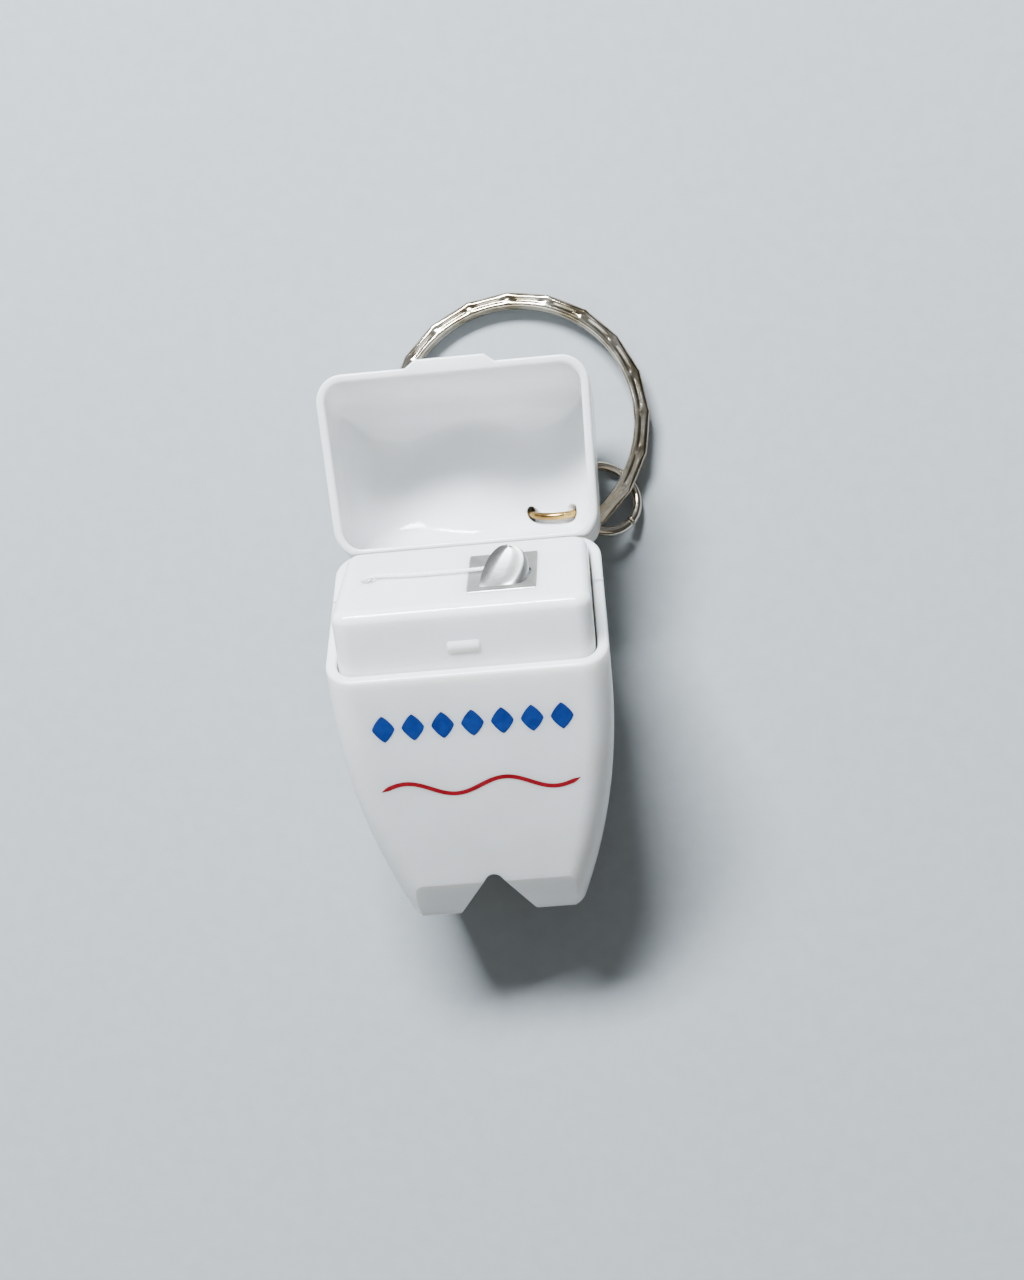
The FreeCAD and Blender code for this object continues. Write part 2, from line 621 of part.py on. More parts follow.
split_height = 2 * SPLIT_WIRE_HEIGHT + SPLIT_COIL_GAP
tilt = math.radians(LINK_TILT)
outward = FreeCAD.Rotation(Z_AXIS, SPLIT_LINK_ANGLE).multVec(X_AXIS)
along_band = Z_AXIS.cross(outward)
link_way = along_band * math.cos(tilt) - Z_AXIS * math.sin(tilt)
link_level = LINK_RADIUS * math.sin(tilt) + LINK_WIRE + TABLE_GAP
link_x, link_y = LINK_FROM_JUMP
link_centre = V(jump_centre.x + link_x, jump_centre.y + link_y, link_level)
split_foot = link_centre - outward * (SPLIT_RADIUS - LINK_INSET) - Z_AXIS * link_level
link_normal = outward.cross(link_way)
link_ring = open_ring(LINK_RADIUS, LINK_WIRE, link_centre, link_normal, outward)


def band_section(angle, z):
    """Rounded section of the key ring's wire, standing at one angle round the ring."""
    low = SPLIT_RADIUS - SPLIT_BAND / 2
    high = SPLIT_RADIUS + SPLIT_BAND / 2
    above = z + SPLIT_WIRE_HEIGHT
    corners = [V(low, 0, z), V(high, 0, z), V(high, 0, above), V(low, 0, above)]
    edges = []
    for index in range(4):
        here = corners[index]
        to_next = (corners[(index + 1) % 4] - here).normalize()
        to_last = (corners[index - 1] - here).normalize()
        start = here + to_last * SPLIT_EDGE_ROUND
        end = here + to_next * SPLIT_EDGE_ROUND
        bulge = here + (to_last + to_next) * (SPLIT_EDGE_ROUND * (1 - math.sqrt(0.5)))
        edges.append(arc(start, bulge, end))
        after = corners[(index + 1) % 4] - to_next * SPLIT_EDGE_ROUND
        edges.append(line(end, after))
    return turned(Part.Wire(edges), V(0, 0, 0), Z_AXIS, angle)


def split_coil():
    """Two flat turns of wire joined by one ramp, about the z axis."""
    pitch = SPLIT_WIRE_HEIGHT + SPLIT_COIL_GAP
    start = SPLIT_RAMP_CENTRE + SPLIT_RAMP_ANGLE / 2
    turn = 360 - SPLIT_RAMP_ANGLE
    lower = Part.Face(band_section(start, 0)).revolve(V(0, 0, 0), Z_AXIS, turn)
    upper = Part.Face(band_section(start, pitch)).revolve(V(0, 0, 0), Z_AXIS, turn)
    ramp = []
    for step in range(SPLIT_RAMP_STEPS + 1):
        share = step / SPLIT_RAMP_STEPS
        rise = pitch * share * share * (3 - 2 * share)
        ramp.append(band_section(start + turn + share * SPLIT_RAMP_ANGLE, rise))
    return lower.fuse([Part.makeLoft(ramp, True, False), upper])


split_ring = split_coil()
link_rise = link_level - split_height / 2
split_lean = math.asin(link_rise / (2 * SPLIT_RADIUS + SPLIT_BAND / 2))
split_ring = turned(split_ring, V(0, 0, 0), along_band, -math.degrees(split_lean))
split_lift = link_rise - SPLIT_RADIUS * math.sin(split_lean)
split_ring = moved(split_ring, split_foot + Z_AXIS * split_lift)

pieces = {
    "front_shell": lay_down(front_shell, 0),
    "rear_shell": lay_down(rear_shell, 0),
    "floss_insert": lay_down(insert, 0),
    "cutter_plate": lay_down(cutter_plate, 0),
    "spool": lay_down(spool, 0),
    "floss_winding": lay_down(floss_winding, 0),
    "floss_strand": lay_down(floss_strand, 0),
    "living_hinge": lay_down(living_hinge, 0),
    "lid": lid,
    "jump_ring": jump_ring,
    "link_ring": link_ring,
    "split_ring": split_ring,
}

# Origin under the middle of the object, on the table
bounds = Part.makeCompound(list(pieces.values())).optimalBoundingBox(False, False)
origin = V(bounds.Center.x, bounds.Center.y, bounds.ZMin)
for name, shape in pieces.items():
    placed = moved(shape, V(0, 0, 0) - origin)
    pieces[name] = placed
    placed.exportStep("parts/" + name + ".step")
    print(name, len(placed.Solids), placed.isValid(), round(placed.Volume, 2))
print("origin", origin, "bounds", bounds)
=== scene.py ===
import bisect
import json
import math

import bmesh
import bpy
from mathutils import Matrix, Vector


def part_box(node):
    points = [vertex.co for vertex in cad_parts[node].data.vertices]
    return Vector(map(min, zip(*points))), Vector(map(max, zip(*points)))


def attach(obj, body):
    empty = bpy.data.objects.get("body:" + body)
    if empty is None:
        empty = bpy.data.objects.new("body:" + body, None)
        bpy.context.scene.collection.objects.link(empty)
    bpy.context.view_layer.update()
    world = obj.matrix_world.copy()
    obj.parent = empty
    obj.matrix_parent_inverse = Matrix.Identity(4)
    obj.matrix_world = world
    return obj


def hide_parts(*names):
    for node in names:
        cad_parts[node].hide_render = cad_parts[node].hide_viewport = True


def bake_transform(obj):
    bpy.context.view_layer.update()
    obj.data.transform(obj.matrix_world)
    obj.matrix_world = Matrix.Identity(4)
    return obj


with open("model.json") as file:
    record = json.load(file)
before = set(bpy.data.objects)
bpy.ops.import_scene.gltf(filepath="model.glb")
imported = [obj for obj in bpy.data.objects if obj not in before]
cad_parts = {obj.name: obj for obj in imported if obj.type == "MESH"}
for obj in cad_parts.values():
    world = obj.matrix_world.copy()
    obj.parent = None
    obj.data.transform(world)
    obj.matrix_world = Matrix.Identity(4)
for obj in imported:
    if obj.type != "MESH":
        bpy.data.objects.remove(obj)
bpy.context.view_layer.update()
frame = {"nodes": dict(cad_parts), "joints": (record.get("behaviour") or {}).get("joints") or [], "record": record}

# Sizes in millimetres. The tooth is drawn upright: x to its right, -y to its front, z up
MM = 0.001
BODY_WIDTH = 31.0
REAR_RATIO = 0.965
BODY_DEPTH = 20.0
HINGE_TO_TIP = 39.1
RIM_SLOPE = math.radians(18)
FRONT_START = -2.0
TIP_SETBACK = 2.6
LONG_EDGE_ROUND = 3.2
HINGE_INSET = 0.5
HINGE_RECESS = 2.6
HINGE_LENGTH = 0.71 * BODY_WIDTH
RIM_GAP = 0.16
LID_WALL = 1.0
CROWN_TOP = 12.5
CROWN_SIDE = 3.6
CUSP_X = 0.239 * BODY_WIDTH
CUSP_DIP = 1.5
INSERT_TOP = 0.7

# Where the tooth stands, from the frame's own hinge line and flat back
joints = {joint["name"]: joint for joint in frame["joints"]}
mounts = {mount["name"]: mount for mount in frame["record"]["mounts"]}
hinge_point = Vector(joints["lid_hinge"]["pos_m"])
back_way = Vector(mounts["back_face"]["axis"])
lid_open = math.radians(joints["lid_hinge"]["range_deg"][0])
body_turn = Matrix.Rotation(math.atan2(back_way.z, back_way.y), 3, "X")
lid_turn = body_turn @ Matrix.Rotation(lid_open, 3, "X")


def on_body(x, y, z):
    """A point of the upright drawing, on the body as it lies."""
    return hinge_point + body_turn @ (Vector((x, y + HINGE_INSET, z)) * MM)


def on_lid(x, y, z):
    """A point of the upright drawing with the lid shut, on the lid as it lies open."""
    return hinge_point + lid_turn @ (Vector((x, y + HINGE_INSET, z)) * MM)


def smooth_step(value):
    value = min(1.0, max(0.0, value))
    return value * value * (3 - 2 * value)


# Materials
def new_material(name):
    """A material with its nodes, its shader and a coordinate source in metres."""
    made = bpy.data.materials.new(name)
    made.use_nodes = True
    nodes = made.node_tree.nodes
    shader = nodes["Principled BSDF"]
    where = nodes.new("ShaderNodeTexCoord")
    return made, nodes, made.node_tree.links, shader, where.outputs["Object"]


def noise(nodes, links, where, scale, detail=3.0):
    """Noise with features of about 1 / scale metres."""
    made = nodes.new("ShaderNodeTexNoise")
    made.inputs["Scale"].default_value = scale
    made.inputs["Detail"].default_value = detail
    links.new(where, made.inputs["Vector"])
    return made.outputs["Fac"]


def ramp(nodes, links, value, stops):
    """Colour ramp through (position, colour) stops."""
    made = nodes.new("ShaderNodeValToRGB")
    points = made.color_ramp.elements
    while len(points) < len(stops):
        points.new(0.5)
    for point, (position, colour) in zip(points, stops):
        point.position = position
        point.color = (*colour, 1)
    links.new(value, made.inputs["Fac"])
    return made.outputs["Color"]


def spread(nodes, links, value, low, high):
    """Noise value spread between two limits."""
    made = nodes.new("ShaderNodeMapRange")
    made.inputs["From Min"].default_value = 0.3
    made.inputs["From Max"].default_value = 0.7
    made.inputs["To Min"].default_value = low
    made.inputs["To Max"].default_value = high
    links.new(value, made.inputs["Value"])
    return made.outputs["Result"]


def bump(nodes, links, shader, value, strength, distance):
    made = nodes.new("ShaderNodeBump")
    made.inputs["Strength"].default_value = strength
    made.inputs["Distance"].default_value = distance
    links.new(value, made.inputs["Height"])
    links.new(made.outputs["Normal"], shader.inputs["Normal"])


def plastic(name, light, dark, rough, scatter):
    """Moulded plastic: cloudy tone, uneven gloss, fine skin and a few dark specks."""
    made, nodes, links, shader, where = new_material(name)
    cloud = noise(nodes, links, where, 140, 5)
    tone = ramp(nodes, links, cloud, [(0.34, dark), (0.66, light)])
    cells = nodes.new("ShaderNodeTexVoronoi")
    cells.inputs["Scale"].default_value = 260
    links.new(where, cells.inputs["Vector"])
    fleck = ramp(nodes, links, cells.outputs["Distance"], [(0.0, (0.55, 0.5, 0.44)), (0.045, (1, 1, 1))])
    rare = ramp(nodes, links, noise(nodes, links, where, 90, 2), [(0.62, (0, 0, 0)), (0.70, (1, 1, 1))])
    mix = nodes.new("ShaderNodeMix")
    mix.data_type = "RGBA"
    mix.blend_type = "MULTIPLY"
    links.new(rare, mix.inputs["Factor"])
    links.new(tone, mix.inputs["A"])
    links.new(fleck, mix.inputs["B"])
    links.new(mix.outputs["Result"], shader.inputs["Base Color"])
    gloss = noise(nodes, links, where, 420, 6)
    links.new(spread(nodes, links, gloss, rough - 0.05, rough + 0.07), shader.inputs["Roughness"])
    bump(nodes, links, shader, noise(nodes, links, where, 1400, 3), 0.06, 0.0004)
    shader.inputs["IOR"].default_value = 1.49
    shader.inputs["Subsurface Weight"].default_value = scatter
    shader.inputs["Subsurface Radius"].default_value = (1.0, 0.9, 0.75)
    shader.inputs["Subsurface Scale"].default_value = 0.0028
    return made


def metal(name, light, dark, rough, grain, stretch, depth):
    """Plated or bare metal: tone clouds, uneven gloss and fine grain drawn along one way."""
    made, nodes, links, shader, where = new_material(name)
    mapping = nodes.new("ShaderNodeMapping")
    mapping.inputs["Scale"].default_value = stretch
    links.new(where, mapping.inputs["Vector"])
    cloud = noise(nodes, links, where, 260, 5)
    links.new(ramp(nodes, links, cloud, [(0.36, dark), (0.64, light)]), shader.inputs["Base Color"])
    lines = noise(nodes, links, mapping.outputs["Vector"], grain, 4)
    links.new(spread(nodes, links, lines, rough - 0.06, rough + 0.1), shader.inputs["Roughness"])
    bump(nodes, links, shader, lines, 0.25, depth)
    shader.inputs["Metallic"].default_value = 1.0
    return made


def ink(name, light, dark):
    """Pad-printed ink: slightly uneven tone, satin, with tiny pinholes in its skin."""
    made, nodes, links, shader, where = new_material(name)
    cloud = noise(nodes, links, where, 900, 5)
    links.new(ramp(nodes, links, cloud, [(0.3, dark), (0.68, light)]), shader.inputs["Base Color"])
    links.new(spread(nodes, links, cloud, 0.28, 0.42), shader.inputs["Roughness"])
    bump(nodes, links, shader, noise(nodes, links, where, 2600, 2), 0.1, 0.0002)
    return made


def thread(name):
    """Waxed thread: fibres along the ply, soft sheen and light scatter."""
    made, nodes, links, shader, where = new_material(name)
    fibre = noise(nodes, links, where, 6000, 4)
    tones = [(0.32, (0.82, 0.82, 0.79)), (0.62, (0.95, 0.95, 0.93))]
    links.new(ramp(nodes, links, fibre, tones), shader.inputs["Base Color"])
    links.new(spread(nodes, links, fibre, 0.4, 0.62), shader.inputs["Roughness"])
    bump(nodes, links, shader, fibre, 0.5, 0.0002)
    shader.inputs["Sheen Weight"].default_value = 0.25
    shader.inputs["Subsurface Weight"].default_value = 0.15
    shader.inputs["Subsurface Scale"].default_value = 0.0004
    return made


WHITE = (0.80, 0.805, 0.795)
WHITE_SHADE = (0.74, 0.74, 0.725)
body_white = plastic("body_white", WHITE, WHITE_SHADE, 0.17, 0.8)
lid_white = plastic("lid_white", (0.76, 0.77, 0.775), (0.72, 0.725, 0.725), 0.13, 0.35)
insert_white = plastic("insert_white", (0.82, 0.825, 0.82), (0.77, 0.77, 0.76), 0.14, 0.8)
spool_white = plastic("spool_white", (0.78, 0.79, 0.78), (0.7, 0.7, 0.69), 0.45, 0.1)
cutter_steel = metal("cutter_steel", (0.50, 0.49, 0.47), (0.38, 0.37, 0.355), 0.42, 900, (1, 9, 9), 0.00003)
# The key ring's nickel has a random cloudy tone, but its very dark end is painted reflection: dark streaks that
# stand in for dark surroundings mirrored in the ring's facets.
nickel = metal("nickel", (0.62, 0.56, 0.46), (0.2, 0.16, 0.1), 0.11, 700, (1, 1, 4), 0.00003)
link_nickel = metal("link_nickel", (0.72, 0.66, 0.56), (0.45, 0.39, 0.30), 0.12, 700, (1, 1, 4), 0.00002)
brass = metal("brass", (0.46, 0.29, 0.09), (0.17, 0.095, 0.03), 0.18, 900, (1, 3, 3), 0.00003)
floss_thread = thread("floss_thread")
blue_ink = ink("blue_ink", (0.003, 0.032, 0.2), (0.002, 0.02, 0.14))
red_ink = ink("red_ink", (0.27, 0.003, 0.011), (0.2, 0.002, 0.007))


# Mesh helpers
def new_piece(name, points, faces, material, body):
    """A piece from points in metres, carried by one body of the frame."""
    mesh = bpy.data.meshes.new(name)
    mesh.from_pydata([tuple(p) for p in points], [], faces)
    mesh.validate()
    sides = bmesh.new()
    sides.from_mesh(mesh)
    bmesh.ops.recalc_face_normals(sides, faces=sides.faces)
    sides.to_mesh(mesh)
    sides.free()
    mesh.materials.append(material)
    mesh.shade_smooth()
    made = bpy.data.objects.new(name, mesh)
    bpy.context.scene.collection.objects.link(made)
    if body:
        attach(made, body)
    return made


def ring_faces(rings, count, closed_ends):
    """Quads between rings of count points each, with the first and last ring closed if asked."""
    faces = []
    for ring in range(rings - 1):
        for here in range(count):
            after = (here + 1) % count
            low, high = ring * count, (ring + 1) * count
            faces.append((low + here, low + after, high + after, high + here))
    if closed_ends:
        faces.append(tuple(range(count)))
        faces.append(tuple((rings - 1) * count + here for here in range(count)))
    return faces


def tube(path, radius, sides, twist=0.0, offset=0.0):
    """Points of a round tube along a path, wound about it at an offset, and its ring count."""
    points = []
    side = None
    run = 0.0
    for index, here in enumerate(path):
        ahead = path[min(index + 1, len(path) - 1)] - path[max(index - 1, 0)]
        ahead.normalize()
        if side is None:
            side = ahead.orthogonal().normalized()
        side = (side - ahead * side.dot(ahead)).normalized()
        other = ahead.cross(side)
        if index:
            run += (here - path[index - 1]).length
        turn = twist * run
        centre = here
        if twist:
            centre = here + (side * math.cos(turn + offset) + other * math.sin(turn + offset)) * radius
        for step in range(sides):
            angle = 2 * math.pi * step / sides
            points.append(centre + (side * math.cos(angle) + other * math.sin(angle)) * radius)
    return points, len(path)


# Lid: a hollow crown with two cusps, an eased rim and a thumb tab
ARC_STEPS = 10
SIDE_STEPS = 28
END_STEPS = 44
CROWN_RINGS = 44
WALL_RINGS = 22
RIM_RINGS = 5
RIM_ROUND = 0.36
ROOF_WALL = 1.0
CROWN_EASE = 0.9
CURVE_STEPS = 40
ROOF_SPARE = 0.3
ROOF_CORNER = 0.29
ROOF_BACK = 0.325 * BODY_DEPTH
ROOF_FRONT = 0.575 * BODY_DEPTH
TAB_HALF = 0.5 * 0.323 * BODY_WIDTH
TAB_REACH = 0.9
TAB_HEIGHT = 3.2
TAB_SLOPE = 1.1
TAB_FULL = 0.3
DIP_HALFWAY = 0.6
SHOULDER = (0.34, 0.16)
FLANK = (0.06, 0.55)
CROWN_SPREAD = 0.8
FIRST_RING = 0.35


def plan_outline(inset):
    """Rounded outline of the tooth in plan, counter-clockwise from the back right corner."""
    half = BODY_WIDTH / 2 - inset
    back = -inset
    front = inset - BODY_DEPTH
    rounding = LONG_EDGE_ROUND - inset
    corners = [(half - rounding, back - rounding, 0), (rounding - half, back - rounding, 90)]
    corners += [(rounding - half, front + rounding, 180), (half - rounding, front + rounding, 270)]
    points = []
    for index, (x, y, start) in enumerate(corners):
        for step in range(ARC_STEPS):
            angle = math.radians(start + 90 * step / ARC_STEPS)
            points.append(Vector((x + rounding * math.cos(angle), y + rounding * math.sin(angle))))
        angle = math.radians(start + 90)
        leave = Vector((x + rounding * math.cos(angle), y + rounding * math.sin(angle)))
        next_x, next_y, _ = corners[(index + 1) % 4]
        meet = Vector((next_x + rounding * math.cos(angle), next_y + rounding * math.sin(angle)))
        steps = END_STEPS if index % 2 == 0 else SIDE_STEPS
        for step in range(steps):
            points.append(leave.lerp(meet, step / steps))
    for point in points:
        point.x *= REAR_RATIO + (1 - REAR_RATIO) * -point.y / BODY_DEPTH
    return points


def curve_table(points, start_way, end_way):
    """Smooth curve through points as many short steps, with its end directions given."""
    ways = [Vector(start_way)]
    for before, after in zip(points, points[2:]):
        ways.append((Vector(after) - Vector(before)).normalized())
    ways.append(Vector(end_way))
    table = []
    for index in range(len(points) - 1):
        first, last = Vector(points[index]), Vector(points[index + 1])
        chord = (last - first).length
        for step in range(CURVE_STEPS):
            t = step / CURVE_STEPS
            blend = 3 * t * t - 2 * t ** 3
            bow = ways[index] * (t ** 3 - 2 * t * t + t) + ways[index + 1] * (t ** 3 - t * t)
            table.append(first.lerp(last, blend) + bow * chord)
    table.append(Vector(points[-1]))
    return sorted((p.x, p.y) for p in table)


def table_height(table, place):
    """Height of a curve table at a place along it."""
    index = min(max(bisect.bisect(table, (place,)), 1), len(table) - 1)
    (x0, z0), (x1, z1) = table[index - 1], table[index]
    share = min(1.0, max(0.0, (place - x0) / max(x1 - x0, 1e-9)))
    return z0 + (z1 - z0) * share


def crown_tables(inset):
    """The crown's curves seen from the front and from the side, drawn in by inset."""
    half = BODY_WIDTH / 2 - inset
    top = CROWN_TOP - ROOF_WALL * inset
    rise = top - CROWN_SIDE
    face = [(0, top - CUSP_DIP), (CUSP_X / 2, top - DIP_HALFWAY * CUSP_DIP), (CUSP_X, top)]
    face += [(half - inward * rise, top - drop * rise) for inward, drop in (SHOULDER, FLANK)]
    face.append((half, CROWN_SIDE))
    roof = top + ROOF_SPARE
    corner = roof - ROOF_CORNER * (roof - CROWN_SIDE)
    front, back = inset - BODY_DEPTH, -inset
    rear_corner = back - ROOF_CORNER * (ROOF_BACK + back)
    front_corner = front - ROOF_CORNER * (ROOF_FRONT + front)
    rear_line = [(-ROOF_BACK, roof), (rear_corner, corner), (back, CROWN_SIDE)]
    front_line = [(front, CROWN_SIDE), (front_corner, corner), (-ROOF_FRONT, roof)]
    side = curve_table(front_line, (0, 1), (1, 0)) + curve_table(rear_line, (1, 0), (0, -1))
    return curve_table(face, (1, 0), (0, -1)), side


def crown_height(tables, x, y):
    """Height of the crown, with the line where its two curves meet eased."""
    face = table_height(tables[0], abs(x))
    side = table_height(tables[1], y)
    near = max(0.0, 1 - abs(face - side) / CROWN_EASE)
    return min(face, side) - near * near * CROWN_EASE / 4


def crown_point(edge, tables, share):
    """Point of the crown above one outline point, from the wall at share 0 to the middle at 1."""
    middle = Vector((0, -BODY_DEPTH / 2))
    place = middle + (edge - middle) * math.cos(share * math.pi / 2) ** CROWN_SPREAD
    return (place.x, place.y, crown_height(tables, place.x, place.y))


def rim_height(y):
    return RIM_GAP / 2 + y * math.tan(RIM_SLOPE)


def tab_push(x, y, lift):
    """How far the thumb tab stands out of the front wall at one place."""
    if y > LONG_EDGE_ROUND - BODY_DEPTH:
        return 0.0
    across = smooth_step((TAB_HALF - abs(x)) / TAB_SLOPE)
    return TAB_REACH * across * (1 - smooth_step((lift / TAB_HEIGHT - TAB_FULL) / (1 - TAB_FULL)))


def wall_point(edge, lift, tab_share):
    """Point of the side wall at a height over the rim, with the tab and the hinge recess."""
    z = rim_height(edge.y) + lift
    y = edge.y - tab_share * tab_push(edge.x, edge.y, lift)
    if z < HINGE_RECESS and tab_share > 0:
        y = min(y, -HINGE_INSET)
    return (edge.x, y, z)


def make_lid():
    outer, outer_tables = plan_outline(0), crown_tables(0)
    inner, inner_tables = plan_outline(LID_WALL), crown_tables(LID_WALL)
    wall_top = [crown_height(outer_tables, *e) - rim_height(e.y) - RIM_ROUND for e in outer]
    inner_top = [crown_height(inner_tables, *e) - rim_height(e.y) - RIM_ROUND for e in inner]
    shares = [1 - (ring + FIRST_RING) / CROWN_RINGS for ring in range(CROWN_RINGS)]
    rings = [[crown_point(e, outer_tables, share) for e in outer] for share in shares]
    for ring in range(WALL_RINGS):
        part = 1 - ring / WALL_RINGS
        rings.append([wall_point(e, RIM_ROUND + part * t, 1) for e, t in zip(outer, wall_top)])
    turns = [math.pi / 2 * ring / RIM_RINGS for ring in range(RIM_RINGS + 1)]
    for turn in turns:
        eased = plan_outline(RIM_ROUND * (1 - math.cos(turn)))
        rings.append([wall_point(e, RIM_ROUND * (1 - math.sin(turn)), 1) for e in eased])
    for turn in turns[::-1]:
        eased = plan_outline(LID_WALL - RIM_ROUND * (1 - math.cos(turn)))
        rings.append([wall_point(e, RIM_ROUND * (1 - math.sin(turn)), 0) for e in eased])
    for ring in range(1, WALL_RINGS + 1):
        part = ring / WALL_RINGS
        rings.append([wall_point(e, RIM_ROUND + part * t, 0) for e, t in zip(inner, inner_top)])
    rings += [[crown_point(e, inner_tables, share) for e in inner] for share in shares[::-1]]
    points = [on_lid(*p) for ring in rings for p in ring]
    faces = ring_faces(len(rings), len(outer), True)
    return new_piece("crown_lid", points, faces, lid_white, None)


# Wire rings
JUMP_RADIUS = 3.6
JUMP_WIRE = 0.46
JUMP_LEAN = math.radians(18)
JUMP_GAP_TURN = math.radians(37)
JUMP_HOLE = 0.66
JUMP_HOLE_LONG = 1.0
SWUNG_HOLE = 0.61
HOLE_STEPS = 72
LINK_RADIUS = 4.3
LINK_WIRE = 0.57
LINK_TILT = math.radians(28)
LINK_ANGLE = math.radians(-46)
BUTT_GAP = 0.16
END_EASE = 0.25
END_SIZE = 0.72
WIRE_STEPS = 120
WIRE_SIDES = 20


def node_middle(node):
    low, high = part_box(node)
    return (low + high) / 2


def wire_ring(name, centre, across, normal, radius, wire, gap_turn, material, body):
    """Open wire ring with eased ends, its gap at gap_turn from the across way."""
    up = normal.cross(across)
    first = BUTT_GAP / 2 / radius
    last = 2 * math.pi - first
    ease = END_EASE * wire / radius
    turns = [first + (last - first) * step / WIRE_STEPS for step in range(1, WIRE_STEPS)]
    turns = [first, first + ease] + turns + [last - ease, last]
    points = []
    for turn in turns:
        size = END_SIZE if turn in (first, last) else 1.0
        out = across * math.cos(turn + gap_turn) + up * math.sin(turn + gap_turn)
        middle = centre + out * radius * MM
        for side in range(WIRE_SIDES):
            angle = 2 * math.pi * side / WIRE_SIDES
            points.append(middle + (out * math.cos(angle) + normal * math.sin(angle)) * (wire * size * MM))
    faces = ring_faces(len(turns), WIRE_SIDES, True)
    return new_piece(name, points, faces, material, body)


def make_jump_ring():
    way = Matrix.Rotation(JUMP_LEAN, 3, "X") @ Vector((0, 0, -1))
    normal = Vector((1, 0, 0)).cross(way)
    centre = node_middle("jump_ring")
    left = Vector((-1, 0, 0))
    made = wire_ring("jump_loop", centre, left, normal, JUMP_RADIUS, JUMP_WIRE, -JUMP_GAP_TURN, brass,
                     "jump_ring")
    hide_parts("jump_ring")
    return centre, normal


def make_link_ring():
    outward = Matrix.Rotation(LINK_ANGLE, 3, "Z") @ Vector((1, 0, 0))
    along = Vector((0, 0, 1)).cross(outward)
    way = along * math.cos(LINK_TILT) - Vector((0, 0, 1)) * math.sin(LINK_TILT)
    normal = outward.cross(way)
    centre = node_middle("link_ring")
    made = wire_ring("link_loop", centre, outward, normal, LINK_RADIUS, LINK_WIRE, 0, link_nickel,
                     "link_ring")
    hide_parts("link_ring")


def cut_ring_way(lid, centre, normal, wide, long):
    """Cuts the way of a ring through the lid, wide in the ring's plane and long across it."""
    across = Vector((1, 0, 0))
    up = normal.cross(across)
    points = []
    for step in range(HOLE_STEPS):
        turn = 2 * math.pi * step / HOLE_STEPS
        out = across * math.cos(turn) + up * math.sin(turn)
        for side in range(WIRE_SIDES):
            angle = 2 * math.pi * side / WIRE_SIDES
            reach = out * (JUMP_RADIUS + wide * math.cos(angle)) + normal * (long * math.sin(angle))
            points.append(centre + reach * MM)
    faces = ring_faces(HOLE_STEPS, WIRE_SIDES, False)
    last = (HOLE_STEPS - 1) * WIRE_SIDES
    for here in range(WIRE_SIDES):
        after = (here + 1) % WIRE_SIDES
        faces.append((last + here, last + after, after, here))
    cutter = new_piece("ring_way", points, faces, lid_white, None)
    cut = lid.modifiers.new("hole", "BOOLEAN")
    cut.object = cutter
    cut.operation = "DIFFERENCE"
    cut.solver = "EXACT"
    bpy.context.view_layer.objects.active = lid
    bpy.ops.object.modifier_apply(modifier=cut.name)
    bpy.data.meshes.remove(cutter.data)


def cut_jump_holes(lid, centre, normal):
    """Holes in the lid for the jump ring, at rest and at the far end of its swing."""
    swing = joints["jump_ring_swing"]
    pivot = Vector(swing["pos_m"])
    turn = Matrix.Rotation(math.radians(swing["range_deg"][0]), 3, Vector(swing["axis"]))
    cut_ring_way(lid, centre, normal, JUMP_HOLE, JUMP_HOLE_LONG)
    cut_ring_way(lid, pivot + turn @ (centre - pivot), turn @ normal, SWUNG_HOLE, SWUNG_HOLE)


# Key ring: two turns of flat wire, its outer half stamped into facets
SPLIT_RADIUS = 15.0
SPLIT_BAND = 2.0
SPLIT_WIRE_HEIGHT = 0.96
SPLIT_COIL_GAP = 0.05
SPLIT_RAMP_ANGLE = math.radians(60)
SPLIT_RAMP_CENTRE = math.radians(215)
FACETS = 20
FACET_DEPTH = 0.16
FACET_DRAW = 0.22
GROOVE_DEPTH = 0.26
SPLIT_BEAD = [(-0.97, 0.16), (-0.88, 0.33), (-0.72, 0.44), (-0.5, 0.48), (-0.28, 0.42)]
SPLIT_END_SIZE = 0.8
SPLIT_END_EASE = 0.02
SPLIT_STEPS = 720


def split_section(phase):
    """Section of the flat wire as (outward, up) points: bead, groove and facet at this phase."""
    scoop = math.sin(math.pi * phase) ** 0.5
    half = SPLIT_WIRE_HEIGHT / 2
    outer = SPLIT_BAND / 2 - FACET_DRAW * scoop
    groove = half - GROOVE_DEPTH * scoop
    crest = half - FACET_DEPTH * (1 - 0.8 * scoop)
    edge = half - FACET_DEPTH * (0.4 + 0.6 * scoop)
    upper = SPLIT_BEAD + [(-0.12, groove), (0.0, groove), (0.16, crest - 0.03), (0.4, crest)]
    upper += [(outer - 0.24, edge), (outer - 0.06, 0.6 * edge), (outer, 0.25 * edge)]
    return upper + [(across, -up) for across, up in upper[::-1]]


